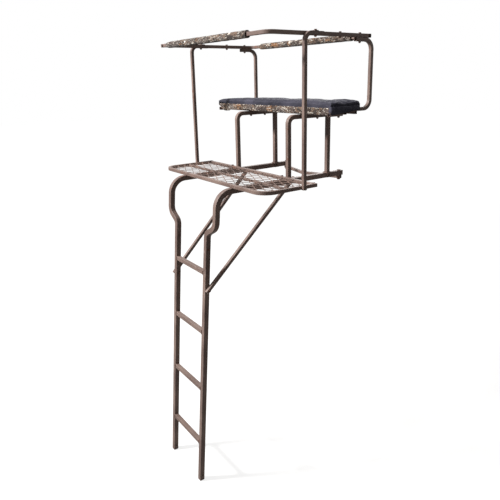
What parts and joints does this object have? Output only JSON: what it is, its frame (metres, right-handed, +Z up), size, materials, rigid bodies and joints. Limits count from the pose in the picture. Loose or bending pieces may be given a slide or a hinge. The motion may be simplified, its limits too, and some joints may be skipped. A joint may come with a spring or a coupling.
{
  "type": "ladder tree stand",
  "caption": "Two-seat ladder tree stand: leaning ladder section, mesh platform, flip-up bench cushion and padded shooting rail, held to a trunk by a vee brace.",
  "frame": {"origin": "inner corner of the vee brace, where it meets the trunk, at the height of the brace tube", "axes": "+X across the stand, towards the right hand of someone who climbs the ladder, +Y into the tree, +Z up"},
  "size_m": [1.131, 1.0837, 2.6093],
  "materials": {
    "brown_paint": "satin",
    "ladder_paint": "satin",
    "mesh_paint": "satin",
    "zinc_steel": "dull",
    "seat_fabric": "coated cloth",
    "camo_foam": "printed cloth over foam"
  },
  "bodies": {
    "stand": {"platform_rim": "brown_paint", "platform_rear_bar": "brown_paint", "platform_mid_bar": "brown_paint", "platform_mesh": "mesh_paint", "neck_left": "brown_paint", "neck_right": "brown_paint", "beam_left": "brown_paint", "beam_right": "brown_paint", "ladder_rail_left": "ladder_paint", "ladder_rail_right": "ladder_paint", "rung_1": "ladder_paint", "rung_2": "ladder_paint", "rung_3": "ladder_paint", "rung_4": "ladder_paint", "strut_left": "brown_paint", "strut_right": "brown_paint", "tree_brace": "brown_paint", "seat_support_left": "brown_paint", "seat_support_right": "brown_paint", "seat_rear_leg_left": "brown_paint", "seat_rear_leg_right": "brown_paint", "seat_feet": "brown_paint", "seat_frame_front_tube": "brown_paint", "seat_frame_middle_tube": "brown_paint", "seat_frame_rear_tube": "brown_paint", "seat_frame_ties": "brown_paint", "seat_frame_stub_left": "brown_paint", "seat_frame_stub_right": "brown_paint", "seat_hinge_lugs": "brown_paint", "seat_hinge_pins": "zinc_steel", "front_upright_left": "brown_paint", "front_upright_right": "brown_paint", "rear_upright_left": "brown_paint", "rear_upright_right": "brown_paint", "rail_front": "brown_paint", "rail_back": "brown_paint", "rail_ears": "brown_paint", "rail_corner_plugs": "zinc_steel", "front_rail_pad": "camo_foam", "rear_rail_pad": "camo_foam", "platform_bolts": "zinc_steel", "ladder_joint_bolts": "zinc_steel", "strut_bolts": "zinc_steel", "brace_bolts": "zinc_steel", "seat_foot_bolts": "zinc_steel", "seat_frame_bolts": "zinc_steel", "upright_bolts": "zinc_steel", "rail_bolts": "zinc_steel", "rail_corner_bolts": "zinc_steel", "nuts": "zinc_steel", "brace_nuts": "zinc_steel"},
    "seat": {"seat_pan": "brown_paint", "seat_pan_slats": "brown_paint", "seat_cushion": "seat_fabric"}
  },
  "joints": [
    {"name": "seat_flip", "type": "hinge", "parent": "stand", "child": "seat", "pos_m": [0, -0.033, 0.4308], "axis": [-1, 0, 0], "range_deg": [0, 80]}
  ]
}
